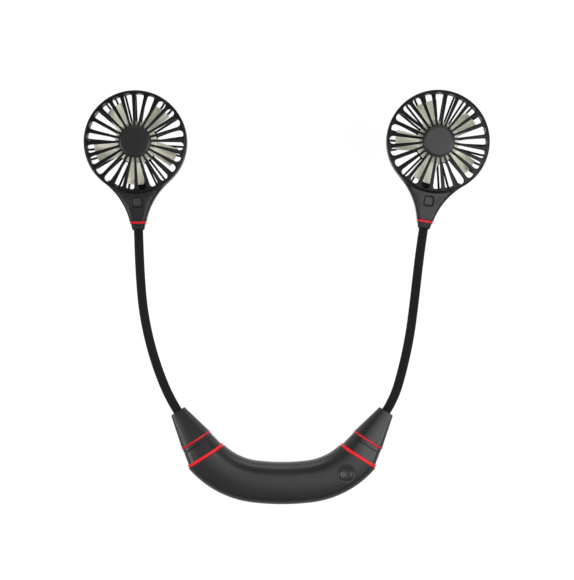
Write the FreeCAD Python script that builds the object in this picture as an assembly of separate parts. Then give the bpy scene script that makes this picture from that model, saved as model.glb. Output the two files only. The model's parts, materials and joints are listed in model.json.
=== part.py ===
import FreeCAD, Part
import math
import os

from FreeCAD import Vector

# Electric neck fan lying on its back: the fans face up, +Z, and the arms point along +Y.
# Everything is drawn about the plane through the arms' axes and lifted onto the table on export.
# The origin is the middle of the collar, on the table.

os.makedirs("parts", exist_ok=True)

ORIGIN = Vector(0, 0, 0)
UP = Vector(0, 0, 1)
ALONG = Vector(1, 0, 0)
FAR = 300.0

# Clearances
FIT = 0.05
LOOSE = 0.15
PARTING = 0.2
PAST = 1.0

# Battery collar: one section swept round a flat middle arc and a tighter bend at each side
COLLAR_HALF_WIDTH = 14.4
COLLAR_HALF_DEPTH = 12.2
COLLAR_OUTER_CORNER = 6.0
COLLAR_INNER_CORNER = 10.0
COLLAR_CROWN = 45.0
COLLAR_WALL = 1.8
MIDDLE_RADIUS = 156.0
MIDDLE_ANGLE = 7.1
BEND_RADIUS = 54.9
END_ANGLE = 47.1
CONE_ANGLE = 57.6
FOOT_CUT = 0.5
LIFT = COLLAR_HALF_DEPTH - FOOT_CUT

# Ends of the collar, measured along the cone from where the bend stops, with section scales.
# Each end leans in a little more than the bend does where it stops.
CLAMP_RING_LENGTH = 2.3
CLAMP_RING_SCALE = 0.975
CLAMP_RING_ROUND = 0.5
BAND_SCALE = 0.917
SEAM_AT = 10.4
SEAM_GAP = 0.5
SEAM_SCALE = 0.807
TRIM_RING_AT = 13.3
TRIM_RING_LENGTH = 1.4
TRIM_RING_SCALE = 0.786
TRIM_RING_ROUND = 0.3
TRIM_FLOOR_SCALE = 0.735
TRIM_RING_STOP = TRIM_RING_AT + TRIM_RING_LENGTH
CONE_SCALE = 0.77
CONE_END_AT = 37.6
CONE_END_SCALE = 0.38
SPIGOT_SCALE = 0.69
SPIGOT_LENGTH = 6.0
END_OVERLAP = 2.0
CONE_BORE = 6.0
CONE_BORE_END = 25.0

# Arms: a sleeve of straight lengths with a ball joint wherever the arm bends
ARM_RADIUS = 3.25
ARM_BORE = 1.5
ARM_LENGTH = 131.6
ARM_JOINTS = 6
ARM_IN_CONE = 11.0
ARM_IN_HEAD = 8.4
LEFT_BENDS = (10.1, 5.9, 5.6, 6.1, 2.1, 1.0)
RIGHT_BENDS = (16.5, 3.8, 4.5, 1.2, -0.6, -2.1)
BALL_CLEARANCE = 0.2
SOCKET_LIP = 1.75

# Fan heads: a round rim that the neck flares into, with a ribbed plate in front and behind
RIM_RADIUS = 35.9
RIM_WALL = 1.6
RIM_INSIDE = RIM_RADIUS - RIM_WALL
RIM_FRONT = 8.6
RIM_ROUND = 1.6
HEAD_HALF_DEPTH = LIFT
RIM_BAND = 2.0
SLOT_REACH = RIM_RADIUS - RIM_BAND
RIM_SHELF = 0.8
FRONT_RIBS = 24
FRONT_RIB_WIDTH = 2.8
FRONT_RIB_ROOT = 1.4
FRONT_SLOT_ROOT = 12.1
FRONT_SLOT_FLAT = 1.0
FRONT_PLATE = 1.9
HUB_CAP_RADIUS = 10.3
HUB_CAP_STEP = 0.7
HUB_CAP_ROUND = 0.6
HUB_CAP_GROOVE = 0.9
RIB_START = HUB_CAP_RADIUS + HUB_CAP_GROOVE
REAR_RIBS = 30
REAR_RIB_WIDTH = 1.4
REAR_SLOT_ROOT = 15.8
REAR_SLOT_FLAT = 2.9
REAR_BAND = 3.7
REAR_SLOT_STOP = RIM_RADIUS - REAR_BAND
REAR_SLOT_REACH = RIM_RADIUS + 2 * PAST
REAR_SLOT_TOP = -3.0
REAR_PLATE = 1.8
REAR_RIM_TAPER = 1.7
REAR_RIM_RADIUS = RIM_RADIUS - REAR_RIM_TAPER
REAR_RIM_DEPTH = 9.0
REAR_RIM_ROUND = 2.4
REAR_HUB_RADIUS = 13.0
REAR_HUB_SLOPE = 2.0
REAR_HUB_STEP = 1.1
STRAIGHT_WALL = 2.0
DUCT_TOP = -6.6
DUCT_FLOOR = -8.0
DUCT_WIDTH = 5.0
DUCT_GROOVE = 2.8
DUCT_START = 15.6

# Neck of a head, measured out from its rim
NECK_LENGTH = 19.6
NECK_END = RIM_RADIUS + NECK_LENGTH
NECK_END_HALF = 5.6
NECK_END_SLOPE = 12.0
NECK_HALF_DEPTH = 5.4
NECK_BEVEL = 1.5
NECK_WALL = 1.6
NECK_END_WALL = 2.0
NECK_PANEL = NECK_HALF_DEPTH - NECK_WALL
NECK_RING_LENGTH = 1.5
NECK_RING_HALF = 5.4
FERRULE_HALF = 4.9
FERRULE_TIP_HALF = 4.0
FERRULE_TIP_BEVEL = 1.3
FERRULE_LENGTH = 4.2
FERRULE_START = NECK_END + NECK_RING_LENGTH
HEAD_REACH = FERRULE_START + FERRULE_LENGTH

# Rotor and motor
BLADES = 5
BLADE_TIP_GAP = 5.0
BLADE_TIP = RIM_INSIDE - BLADE_TIP_GAP
BLADE_ROOT_CHORD = 11.5
BLADE_TIP_CHORD = 15.4
BLADE_ROOT_PITCH = 38.0
BLADE_TIP_PITCH = 27.0
BLADE_SWEEP = 6.0
BLADE_THICKNESS = 1.2
BLADE_MIDDLE = -1.5
LEFT_BLADE_PHASE = 52.0
RIGHT_BLADE_PHASE = 44.5
ROTOR_RADIUS = 14.4
ROTOR_WALL = 1.4
ROTOR_INSIDE = ROTOR_RADIUS - ROTOR_WALL
ROTOR_FRONT = 4.6
ROTOR_PLATE = 1.6
ROTOR_REAR = -7.6
ROTOR_ROUND = 0.8
ROTOR_BOSS_RADIUS = 2.4
ROTOR_BOSS_LENGTH = 1.1
SHAFT_RADIUS = 1.0
SHAFT_PLAY = 0.03
SHAFT_END_GAP = 0.2
SEAT_PLAY = 0.02
BEARING_RADIUS = 2.48
POST_RADIUS = 3.6
POST_TOP = 1.5
STATOR_RADIUS = 10.8
STATOR_BOTTOM = -6.8
STATOR_TOP = -0.8
STATOR_FOOT = 5.2
STATOR_POLES = 6
POLE_GAP = 1.2
WINDING_SLOT_ROOT = 6.2
WINDING_SLOT_REACH = 10.0
WINDING_SLOT_END = 1.5
MAGNET_THICKNESS = 1.5
MAGNET_REAR = -7.0
BOARD_THICKNESS = 1.0

# Head button, its stem in the switch below it, and the screws of the covers
HEAD_BUTTON_OUT = 6.0
HEAD_BUTTON_AT = RIM_RADIUS + HEAD_BUTTON_OUT
HEAD_BUTTON_HALF = 2.75
HEAD_BUTTON_HOLE = 3.4
HEAD_BUTTON_CORNER = 1.2
HEAD_HOLE_CORNER = HEAD_BUTTON_CORNER + HEAD_BUTTON_HOLE - HEAD_BUTTON_HALF
HEAD_BUTTON_ROUND = 0.35
HEAD_BUTTON_PROUD = 0.3
HEAD_BUTTON_TRAVEL = 0.5
HEAD_FLANGE_HALF = 4.0
HEAD_FLANGE_GAP = 0.3
HEAD_FLANGE = 0.8
HEAD_FLANGE_TOP = NECK_PANEL - HEAD_FLANGE_GAP
HEAD_FLANGE_BOTTOM = HEAD_FLANGE_TOP - HEAD_FLANGE
HEAD_STEM_RADIUS = 1.2
HEAD_STEM_END = 0.6
HEAD_SWITCH_HALF = 2.25
HEAD_SWITCH_TOP = 1.4
WELL_SPARE = 0.2
SWITCH_BOARD_TOP = -1.6
SWITCH_BOARD_HALF = 5.0
SWITCH_BOARD_OUT = 2.3
SWITCH_BOARD_LENGTH = 11.8
SWITCH_BOARD_START = RIM_RADIUS + SWITCH_BOARD_OUT
SWITCH_BOARD_END = SWITCH_BOARD_START + SWITCH_BOARD_LENGTH
BOARD_REST_INSET = 1.4
BOARD_REST_HALF = 3.0
BOARD_REST_WALL = 2.0
HEAD_SCREW_X = 8.2
HEAD_SCREW_OUT = 3.7
HEAD_SCREW_AT = RIM_RADIUS + HEAD_SCREW_OUT
HEAD_SCREW_SEAT = -3.0
HEAD_SCREW_RADIUS = 0.75
HEAD_SCREW_HEAD_RADIUS = 1.4
HEAD_SCREW_HEAD = 1.2
HEAD_SCREW_TIP = 2.8
HEAD_POST_RADIUS = 2.0

# Power button on the right-hand bend
POWER_ANGLE = 33.8
POWER_OUT = 3.1
POWER_RADIUS = 4.45
POWER_TRAVEL = 0.6
POWER_SUNK = 0.9
POWER_ROUND = 0.3
POWER_FLANGE_RADIUS = 5.9
POWER_FLANGE = 0.8
POWER_FLANGE_GAP = 0.2
POWER_STEM_RADIUS = 1.6
POWER_STEM_END = 3.4
POWER_SWITCH_HALF = 3.0
POWER_SWITCH_TOP = 5.2
DISH_RADIUS = 4.15
DISH_DEPTH = 1.0
BEZEL_RADIUS = 6.5
BEZEL_BORE = 4.7
BEZEL_SEAT = 1.7
BEZEL_BEVEL = 0.5
BEZEL_LIP = 0.3
BEZEL_FUNNEL = 0.8
BOSS_RADIUS = 7.8
BOSS_DEPTH = 4.0

# Cell, control board and charging port
CELL_RADIUS = 9.2
CELL_LENGTH = 65.0
CELL_SHIFT = 2.0
SADDLE_AT = 20.0
SADDLE_THICKNESS = 2.0
SADDLE_TOP = -2.0
TAB_THICKNESS = 0.3
TAB_HALF = 4.0
CONTROL_TOP = 1.2
CONTROL_BOTTOM = 0.0
CONTROL_INNER = -6.0
CONTROL_OUTER = 11.0
CONTROL_CELL_GAP = 1.25
CONTROL_SCREW_GAP = 3.0
CONTROL_POST_RADIUS = 1.6
CONTROL_POST_INSET = 3.5
PORT_WIDTH = 8.9
PORT_HEIGHT = 3.2
PORT_DEPTH = 7.4
PORT_WALL = 0.35
PORT_BACK = 1.0
PORT_SUNK = 0.3
TONGUE_HALF = 3.3
TONGUE_THICKNESS = 0.7
TONGUE_SUNK = 0.6

# Screws of the collar shells
SHELL_SCREW_RADIUS = 0.85
SHELL_SCREW_HEAD_RADIUS = 1.9
SHELL_SCREW_HEAD = 1.4
SHELL_SCREW_SLOT = 0.6
SHELL_SCREW_SEAT = -5.0
SHELL_SCREW_TIP = 6.0
SHELL_POST_RADIUS = 2.3
MIDDLE_SCREW_OUT = 10.2
INNER_SCREW_ANGLE = 27.0
INNER_SCREW_IN = 8.6
END_SCREW_BACK = 3.0
END_SCREW_ANGLE = END_ANGLE - END_SCREW_BACK


def save(name, shape):
    """Lift a finished piece onto the table and write it."""
    piece = shape.copy()
    piece.translate(UP * LIFT)
    if not piece.isValid():
        raise ValueError(name + " is not a valid solid")
    piece.exportStep("parts/" + name + ".step")


def join(shapes):
    return shapes[0].multiFuse(shapes[1:]).removeSplitter()


def group(shapes):
    return Part.makeCompound(shapes)


def cylinder(radius, bottom, top, at=ORIGIN):
    return Part.makeCylinder(radius, top - bottom, Vector(at.x, at.y, bottom))


def tube(outer, inner, bottom, top):
    return cylinder(outer, bottom, top).cut(cylinder(inner, bottom, top))


def rod(radius, start, stop):
    """A round bar along X."""
    return Part.makeCylinder(radius, stop - start, Vector(start, 0, 0), ALONG)


def block(x0, x1, y0, y1, z0, z1):
    return Part.makeBox(x1 - x0, y1 - y0, z1 - z0, Vector(x0, y0, z0))


def slab(bottom, top):
    return block(-FAR, FAR, -FAR, FAR, bottom, top)


def turned(shape, angle, centre=ORIGIN):
    copy = shape.copy()
    copy.rotate(centre, UP, angle)
    return copy


def moved(shape, offset):
    copy = shape.copy()
    copy.translate(offset)
    return copy


def mirrored(shape):
    """The left-hand copy of a right-hand piece."""
    return shape.mirror(ORIGIN, ALONG)


def flipped(shape):
    """The rear copy of a front piece."""
    return shape.mirror(ORIGIN, UP)


def direction(angle):
    return Vector(math.cos(math.radians(angle)), math.sin(math.radians(angle)), 0)


def unit(vector):
    return vector * (1.0 / vector.Length)


def lathe(profile):
    """Turn a closed outline of (radius, height) points about the Z axis."""
    points = [Vector(radius, 0, height) for radius, height in profile]
    outline = Part.makePolygon(points + [points[0]])
    return Part.Face(outline).revolve(ORIGIN, UP, 360)


def round_rim(shape, rim_radius, height, radius):
    """Round the circular edge that lies at one radius and height."""
    edges = []
    for edge in shape.Edges:
        box = edge.BoundBox
        level = box.ZLength < 0.01 and abs(box.ZMin - height) < 0.01
        if level and abs(box.XMax - rim_radius) < 0.01:
            edges.append(edge)
    return shape.makeFillet(radius, edges)


# Collar section: crowned front and rear, a tighter corner outside than inside, outer side at -Y
def section(scale=1.0, inset=0.0, along=0.0):
    half_depth = COLLAR_HALF_DEPTH * scale - inset
    half_width = COLLAR_HALF_WIDTH * scale - inset
    crown = COLLAR_CROWN * scale - inset

    def corner(side, radius):
        reach = half_width - radius
        rise = math.sqrt((crown - radius) ** 2 - reach ** 2)
        centre = Vector(along, side * reach, half_depth - crown + rise)
        lean = math.atan2(rise, reach)
        points = []
        for angle in (0, lean / 2, lean):
            points.append(centre + Vector(0, side * math.cos(angle), math.sin(angle)) * radius)
        return points

    def below(point):
        return Vector(point.x, point.y, -point.z)

    outer = corner(-1, COLLAR_OUTER_CORNER * scale - inset)
    inner = corner(1, COLLAR_INNER_CORNER * scale - inset)
    top = Vector(along, 0, half_depth)
    return Part.Wire([
        Part.Arc(outer[0], outer[1], outer[2]).toShape(),
        Part.Arc(outer[2], top, inner[2]).toShape(),
        Part.Arc(inner[2], inner[1], inner[0]).toShape(),
        Part.makeLine(inner[0], below(inner[0])),
        Part.Arc(below(inner[0]), below(inner[1]), below(inner[2])).toShape(),
        Part.Arc(below(inner[2]), below(top), below(outer[2])).toShape(),
        Part.Arc(below(outer[2]), below(outer[1]), below(outer[0])).toShape(),
        Part.makeLine(below(outer[0]), outer[0]),
    ])


MIDDLE_CENTRE = Vector(0, MIDDLE_RADIUS, 0)
BEND_CENTRE = MIDDLE_CENTRE - direction(90 + MIDDLE_ANGLE) * (MIDDLE_RADIUS - BEND_RADIUS)


def on_bend(angle, outward):
    """A point on the right-hand bend, in plan."""
    return BEND_CENTRE - direction(90 + angle) * (BEND_RADIUS + outward)


COLLAR_END = on_bend(END_ANGLE, 0)


def at_end(shape):
    """Carry a shape drawn along +X to the right-hand end of the collar."""
    return moved(turned(shape, CONE_ANGLE), COLLAR_END)


def round_collar(face):
    """Sweep a face drawn across the middle of the collar round all of its arcs, up to the clamp rings."""
    middle = turned(face, -MIDDLE_ANGLE, MIDDLE_CENTRE)
    middle = middle.revolve(MIDDLE_CENTRE, UP, 2 * MIDDLE_ANGLE)
    right = turned(face, MIDDLE_ANGLE, MIDDLE_CENTRE)
    right = right.revolve(BEND_CENTRE, UP, CONE_ANGLE - MIDDLE_ANGLE)
    right = right.cut(at_end(block(0, FAR, -FAR, FAR, -FAR, FAR)))
    return join([middle, right, mirrored(right)])


def prism(scale, start, stop, inset=0.0):
    return Part.Face(section(scale, inset, start)).extrude(ALONG * (stop - start))


def taper(start, start_scale, stop, stop_scale):
    return Part.makeLoft([section(start_scale, 0, start), section(stop_scale, 0, stop)], True, True)


def ring(scale, floor_scale, start, stop, radius):
    """A band with rounded edges round a straight stretch of the section."""
    band = prism(scale, start, stop)
    band = band.makeFillet(radius, [edge for edge in band.Edges if edge.BoundBox.XLength < 0.01])
    return band.cut(prism(floor_scale, start - PAST, stop + PAST, -FIT))


# Collar shells
below_table = slab(-FAR, -LIFT)
solid_collar = round_collar(Part.Face(section()))
post_space = round_collar(Part.Face(section(1.0, COLLAR_WALL / 2)))
wall = round_collar(Part.Face(section()).cut(Part.Face(section(1.0, COLLAR_WALL))))
end_wall = join([
    prism(BAND_SCALE, -END_OVERLAP, CLAMP_RING_LENGTH),
    taper(CLAMP_RING_LENGTH, BAND_SCALE, SEAM_AT, SEAM_SCALE),
])
end_wall = at_end(end_wall.cut(prism(SPIGOT_SCALE, -END_OVERLAP, SEAM_AT)))
casing = join([wall, end_wall, mirrored(end_wall)])
front_shell = casing.common(slab(PARTING / 2, FAR))
rear_shell = casing.common(slab(-FAR, -PARTING / 2))

# Screw posts: one outside the cell, one inside each of its ends and one beside each clamp ring
screw_places = [Vector(0, -MIDDLE_SCREW_OUT, 0)]
for place in (on_bend(INNER_SCREW_ANGLE, -INNER_SCREW_IN), on_bend(END_SCREW_ANGLE, 0)):
    screw_places.append(place)
    screw_places.append(Vector(-place.x, place.y, 0))

front_posts = []
rear_posts = []
front_holes = []
rear_holes = []
shell_screws = []
for place in screw_places:
    post = cylinder(SHELL_POST_RADIUS, 0, COLLAR_HALF_DEPTH, place).common(post_space)
    front_posts.append(post)
    rear_posts.append(flipped(post))
    front_holes.append(cylinder(SHELL_SCREW_RADIUS + FIT, 0, SHELL_SCREW_TIP + PAST, place))
    rear_holes.append(cylinder(SHELL_SCREW_RADIUS + LOOSE, SHELL_SCREW_SEAT, 0, place))
    rear_holes.append(cylinder(SHELL_SCREW_HEAD_RADIUS + LOOSE, -COLLAR_HALF_DEPTH, SHELL_SCREW_SEAT, place))
    head_bottom = SHELL_SCREW_SEAT - SHELL_SCREW_HEAD
    head = cylinder(SHELL_SCREW_HEAD_RADIUS, head_bottom, SHELL_SCREW_SEAT, place)
    shank = cylinder(SHELL_SCREW_RADIUS, SHELL_SCREW_SEAT, SHELL_SCREW_TIP, place)
    half = SHELL_SCREW_SLOT / 2
    reach = SHELL_SCREW_HEAD_RADIUS
    slot = moved(block(-half, half, -reach, reach, head_bottom, head_bottom + SHELL_SCREW_SLOT), place)
    shell_screws.append(join([head, shank]).cut(slot))
save("shell_screws", group(shell_screws))

# Power button, sunk in a funnel ring on a boss inside the front shell
power = on_bend(POWER_ANGLE, POWER_OUT)
boss_bottom = COLLAR_HALF_DEPTH - BOSS_DEPTH
bezel_bottom = COLLAR_HALF_DEPTH - BEZEL_SEAT
boss = cylinder(BOSS_RADIUS, boss_bottom, COLLAR_HALF_DEPTH, power).common(solid_collar)
front_shell = join([front_shell, boss] + front_posts)
front_shell = front_shell.cut(cylinder(BEZEL_RADIUS + FIT, bezel_bottom, FAR, power))
front_shell = front_shell.cut(cylinder(BEZEL_BORE, 0, FAR, power))
front_shell = front_shell.cut(group(front_holes))
save("collar_front_shell", front_shell)

bezel = lathe([
    (BEZEL_BORE, bezel_bottom),
    (BEZEL_RADIUS, bezel_bottom),
    (BEZEL_RADIUS, COLLAR_HALF_DEPTH - BEZEL_BEVEL),
    (BEZEL_RADIUS - BEZEL_BEVEL, COLLAR_HALF_DEPTH),
    (BEZEL_RADIUS - BEZEL_BEVEL - BEZEL_LIP, COLLAR_HALF_DEPTH),
    (BEZEL_BORE, COLLAR_HALF_DEPTH - BEZEL_FUNNEL),
])
save("power_button_ring", moved(bezel, power))

power_top = COLLAR_HALF_DEPTH - POWER_SUNK
flange_top = boss_bottom - POWER_FLANGE_GAP
flange_bottom = flange_top - POWER_FLANGE
power_cap = round_rim(cylinder(POWER_RADIUS, flange_bottom, power_top), POWER_RADIUS, power_top, POWER_ROUND)
power_cap = join([
    power_cap,
    cylinder(POWER_FLANGE_RADIUS, flange_bottom, flange_top),
    cylinder(POWER_STEM_RADIUS, POWER_STEM_END, flange_top),
])
dish_ball = (DISH_RADIUS ** 2 + DISH_DEPTH ** 2) / (2 * DISH_DEPTH)
power_cap = power_cap.cut(Part.makeSphere(dish_ball, Vector(0, 0, power_top - DISH_DEPTH + dish_ball)))
save("power_button", moved(power_cap, power))

# Control board on two posts, with the power switch above it and the charging port below
control_edge = CELL_LENGTH / 2 + TAB_THICKNESS + CONTROL_CELL_GAP - BEND_CENTRE.x
control_start = math.degrees(math.asin(control_edge / (BEND_RADIUS + CONTROL_INNER)))
control_end = END_SCREW_ANGLE - CONTROL_SCREW_GAP
edge = block(0, 1, -CONTROL_OUTER, -CONTROL_INNER, CONTROL_BOTTOM, CONTROL_TOP).Faces[0]
edge = turned(edge, MIDDLE_ANGLE, MIDDLE_CENTRE)
edge = turned(edge, control_start - MIDDLE_ANGLE, BEND_CENTRE)
save("control_board", edge.revolve(BEND_CENTRE, UP, control_end - control_start))

half = POWER_SWITCH_HALF
power_switch = block(-half, half, -half, half, CONTROL_TOP, POWER_SWITCH_TOP)
well_floor = POWER_STEM_END - POWER_TRAVEL - WELL_SPARE
power_switch = power_switch.cut(cylinder(POWER_STEM_RADIUS + LOOSE, well_floor, POWER_SWITCH_TOP))
save("power_switch", moved(turned(power_switch, POWER_ANGLE), power))

PORT_MIDDLE = CONTROL_BOTTOM - PORT_HEIGHT / 2
PORT_MOUTH = COLLAR_HALF_WIDTH - PORT_SUNK
PORT_START = PORT_MOUTH - PORT_DEPTH


def port_bar(grown, start, stop):
    """A bar with round ends, pointing outward on the bend under the power button."""
    half_height = PORT_HEIGHT / 2 + grown
    side = PORT_WIDTH / 2 + grown - half_height
    pieces = [block(-side, side, -stop, -start, PORT_MIDDLE - half_height, PORT_MIDDLE + half_height)]
    for x in (-side, side):
        end = Vector(x, -start, PORT_MIDDLE)
        pieces.append(Part.makeCylinder(half_height, stop - start, end, Vector(0, -1, 0)))
    return to_port(join(pieces))


def to_port(shape):
    return moved(turned(shape, POWER_ANGLE), on_bend(POWER_ANGLE, 0))


half = TONGUE_THICKNESS / 2
tongue = block(-TONGUE_HALF, TONGUE_HALF, TONGUE_SUNK - PORT_MOUTH, -PORT_START,
               PORT_MIDDLE - half, PORT_MIDDLE + half)
port = port_bar(0, PORT_START, PORT_MOUTH).cut(port_bar(-PORT_WALL, PORT_START + PORT_BACK, PORT_MOUTH))
save("charging_port", join([port, to_port(tongue)]))

# Cell in two saddles of the rear shell, with a tab on each end
cell_axis = Vector(0, CELL_SHIFT, 0)
save("battery_cell", moved(rod(CELL_RADIUS, -CELL_LENGTH / 2, CELL_LENGTH / 2), cell_axis))
cell_space = moved(rod(CELL_RADIUS + FIT, -FAR, FAR), cell_axis)
tab = block(0, TAB_THICKNESS, CELL_SHIFT - TAB_HALF, CELL_SHIFT + TAB_HALF, -TAB_HALF, TAB_HALF)
tab = moved(tab, ALONG * (CELL_LENGTH / 2))
save("battery_tabs", group([tab, mirrored(tab)]))
saddle = block(SADDLE_AT, SADDLE_AT + SADDLE_THICKNESS, -FAR, FAR, -COLLAR_HALF_DEPTH, SADDLE_TOP)
saddle = saddle.common(post_space).cut(cell_space)
supports = [saddle, mirrored(saddle)]
for angle in (control_start + CONTROL_POST_INSET, control_end - CONTROL_POST_INSET):
    place = on_bend(angle, -CONTROL_POST_INSET)
    post = cylinder(CONTROL_POST_RADIUS, -COLLAR_HALF_DEPTH, CONTROL_BOTTOM, place)
    supports.append(post.common(post_space))

rear_shell = join([rear_shell] + rear_posts + supports)
rear_shell = rear_shell.cut(group(rear_holes))
port_hole = port_bar(LOOSE, PORT_START, PORT_MOUTH + COLLAR_WALL)
rear_shell = rear_shell.cut(port_hole.common(slab(-FAR, CONTROL_BOTTOM)))
save("collar_rear_shell", rear_shell.cut(below_table))

# End cones, clamp rings and trim rings
cone = join([
    prism(SPIGOT_SCALE, SEAM_AT - SPIGOT_LENGTH, SEAM_AT + SEAM_GAP, LOOSE),
    taper(SEAM_AT + SEAM_GAP, SEAM_SCALE, TRIM_RING_AT, CONE_SCALE),
    prism(TRIM_FLOOR_SCALE, TRIM_RING_AT, TRIM_RING_STOP),
    taper(TRIM_RING_STOP, CONE_SCALE, CONE_END_AT, CONE_END_SCALE),
])
cone = cone.cut(rod(CONE_BORE, 0, CONE_BORE_END))
cone = at_end(cone.cut(rod(ARM_RADIUS + FIT, 0, CONE_END_AT + PAST)))
clamp_ring = at_end(ring(CLAMP_RING_SCALE, BAND_SCALE, 0, CLAMP_RING_LENGTH, CLAMP_RING_ROUND))
clamp_ring = clamp_ring.cut(below_table)
trim_ring = at_end(ring(TRIM_RING_SCALE, TRIM_FLOOR_SCALE, TRIM_RING_AT, TRIM_RING_STOP, TRIM_RING_ROUND))
for name, piece in (("cone", cone), ("clamp_ring", clamp_ring), ("trim_ring", trim_ring)):
    save("right_" + name, piece)
    save("left_" + name, mirrored(piece))


# Arms
def arm_piece(length, socket, ball):
    """One sleeve length along +X from its joint, with a socket at its start and a ball at its end."""

    def on_ball(radius, centre, angle):
        return Vector(centre + radius * math.cos(angle), radius * math.sin(angle), 0)

    start = SOCKET_LIP if socket else 0.0
    corners = [Vector(start, ARM_RADIUS, 0), Vector(length, ARM_RADIUS, 0)]
    edges = [Part.makeLine(corners[0], corners[1])]
    if ball:
        bore = math.asin(ARM_BORE / ARM_RADIUS)
        tip = on_ball(ARM_RADIUS, length, bore)
        edges.append(Part.Arc(corners[1], on_ball(ARM_RADIUS, length, 1.0), tip).toShape())
    else:
        tip = Vector(length, ARM_BORE, 0)
        edges.append(Part.makeLine(corners[1], tip))
    if socket:
        hollow = ARM_RADIUS + BALL_CLEARANCE
        floor = on_ball(hollow, 0, math.asin(ARM_BORE / hollow))
        lip = on_ball(hollow, 0, math.acos(SOCKET_LIP / hollow))
        edges.append(Part.makeLine(tip, floor))
        edges.append(Part.Arc(floor, on_ball(hollow, 0, 0.8), lip).toShape())
        edges.append(Part.makeLine(lip, corners[0]))
    else:
        mouth = Vector(0, ARM_BORE, 0)
        edges.append(Part.makeLine(tip, mouth))
        edges.append(Part.makeLine(mouth, corners[0]))
    return Part.Face(Part.Wire(edges)).revolve(ORIGIN, ALONG, 360)


def arm(side, bends):
    """Save the lengths of one arm and return the place and turn of the head at its end."""
    step = ARM_LENGTH / ARM_JOINTS
    heading = CONE_ANGLE
    point = COLLAR_END + direction(heading) * (CONE_END_AT - ARM_IN_CONE)
    lengths = [ARM_IN_CONE + step / 2] + [step] * (ARM_JOINTS - 1) + [step / 2 + ARM_IN_HEAD]
    for index, length in enumerate(lengths):
        piece = arm_piece(length, index > 0, index < ARM_JOINTS)
        piece = moved(turned(piece, heading), point)
        save(side + "_arm_" + str(index), mirrored(piece) if side == "left" else piece)
        point = point + direction(heading) * length
        if index < ARM_JOINTS:
            heading = heading + bends[index]
            x = -point.x if side == "left" else point.x
            print(side, "joint", index + 1, "at", round(x, 3), round(point.y, 3))
    point = point + direction(heading) * (HEAD_REACH - ARM_IN_HEAD)
    if side == "left":
        return Vector(-point.x, point.y, 0), 90 - heading
    return point, heading - 90


# Heads, drawn with the fan's axis on Z and the neck along -Y
def rounded_slot(root, root_radius, reach, end_radius, bottom, top):
    """A slot along +X with round ends of two sizes joined by tangent lines."""
    far = reach - end_radius
    lean = math.acos((root_radius - end_radius) / (far - root))

    def on(centre, radius, angle):
        return Vector(centre + radius * math.cos(angle), radius * math.sin(angle), bottom)

    outer = [on(far, end_radius, angle) for angle in (lean, 0, -lean)]
    inner = [on(root, root_radius, angle) for angle in (-lean, math.pi, lean)]
    outline = Part.Wire([
        Part.Arc(outer[0], outer[1], outer[2]).toShape(),
        Part.makeLine(outer[2], inner[0]),
        Part.Arc(inner[0], inner[1], inner[2]).toShape(),
        Part.makeLine(inner[2], outer[0]),
    ])
    return Part.Face(outline).extrude(UP * (top - bottom))


def grille_slots(ribs, rib_width, rib_root, root, reach, flat, bottom, top, closed):
    """The slots between evenly spaced ribs, with one rib over the neck and some slots beside it left closed.

    The outer end of a slot is rounded, but for a flat stretch in its middle.
    """
    half = math.pi / ribs
    step = 360.0 / ribs
    root_radius = root * math.sin(half) - rib_root / 2
    centre = Vector(root, 0, bottom)
    lean = half - math.asin(rib_width / 2 / reach)
    far = Vector(reach * math.cos(lean), reach * math.sin(lean), bottom)
    span = far - centre
    touch = math.atan2(span.y, span.x) + math.acos(root_radius / span.Length)
    near = centre + Vector(math.cos(touch), math.sin(touch), 0) * root_radius
    far_below = Vector(far.x, -far.y, bottom)
    near_below = Vector(near.x, -near.y, bottom)
    outline = Part.Wire([
        Part.Arc(far_below, Vector(reach, 0, bottom), far).toShape(),
        Part.makeLine(far, near),
        Part.Arc(near, centre - ALONG * root_radius, near_below).toShape(),
        Part.makeLine(near_below, far_below),
    ])
    one = Part.Face(outline).extrude(UP * (top - bottom))
    corners = []
    for edge in one.Edges:
        if edge.BoundBox.ZLength > PAST and edge.BoundBox.XMin > (root + reach) / 2:
            corners.append(edge)
    one = one.makeFillet(far.y - flat / 2, corners)
    return group([turned(one, (k + 0.5) * step - 90) for k in range(ribs - closed)])


# The neck's sides are arcs that leave the rim in line with it and narrow to the ring
slope = math.radians(NECK_END_SLOPE)
flare_gain = RIM_RADIUS - NECK_END_HALF * math.cos(slope) - NECK_END * math.sin(slope)
NECK_FLARE = (NECK_END ** 2 + NECK_END_HALF ** 2 - RIM_RADIUS ** 2) / (2 * flare_gain)
flare_reach = Vector(math.cos(slope), -math.sin(slope), 0) * NECK_FLARE
FLARE_CENTRE = Vector(NECK_END_HALF, -NECK_END, 0) + flare_reach


def neck_outline(inset, end, height):
    """Plan of the neck, drawn in from its sides and stopped at a distance from the fan's axis."""
    radius = NECK_FLARE + inset
    start = FLARE_CENTRE - unit(FLARE_CENTRE) * radius
    first = math.atan2(start.y - FLARE_CENTRE.y, FLARE_CENTRE.x - start.x)
    last = math.asin((-end - FLARE_CENTRE.y) / radius)
    right = []
    for angle in (first, (first + last) / 2, last):
        point = FLARE_CENTRE + Vector(-math.cos(angle), math.sin(angle), 0) * radius
        right.append(point + UP * height)
    left = [Vector(-point.x, point.y, height) for point in right]
    back = Vector(0, -start.Length, height)
    return Part.Wire([
        Part.Arc(right[0], right[1], right[2]).toShape(),
        Part.makeLine(right[2], left[2]),
        Part.Arc(left[2], left[1], left[0]).toShape(),
        Part.Arc(left[0], back, right[0]).toShape(),
    ])


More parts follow.
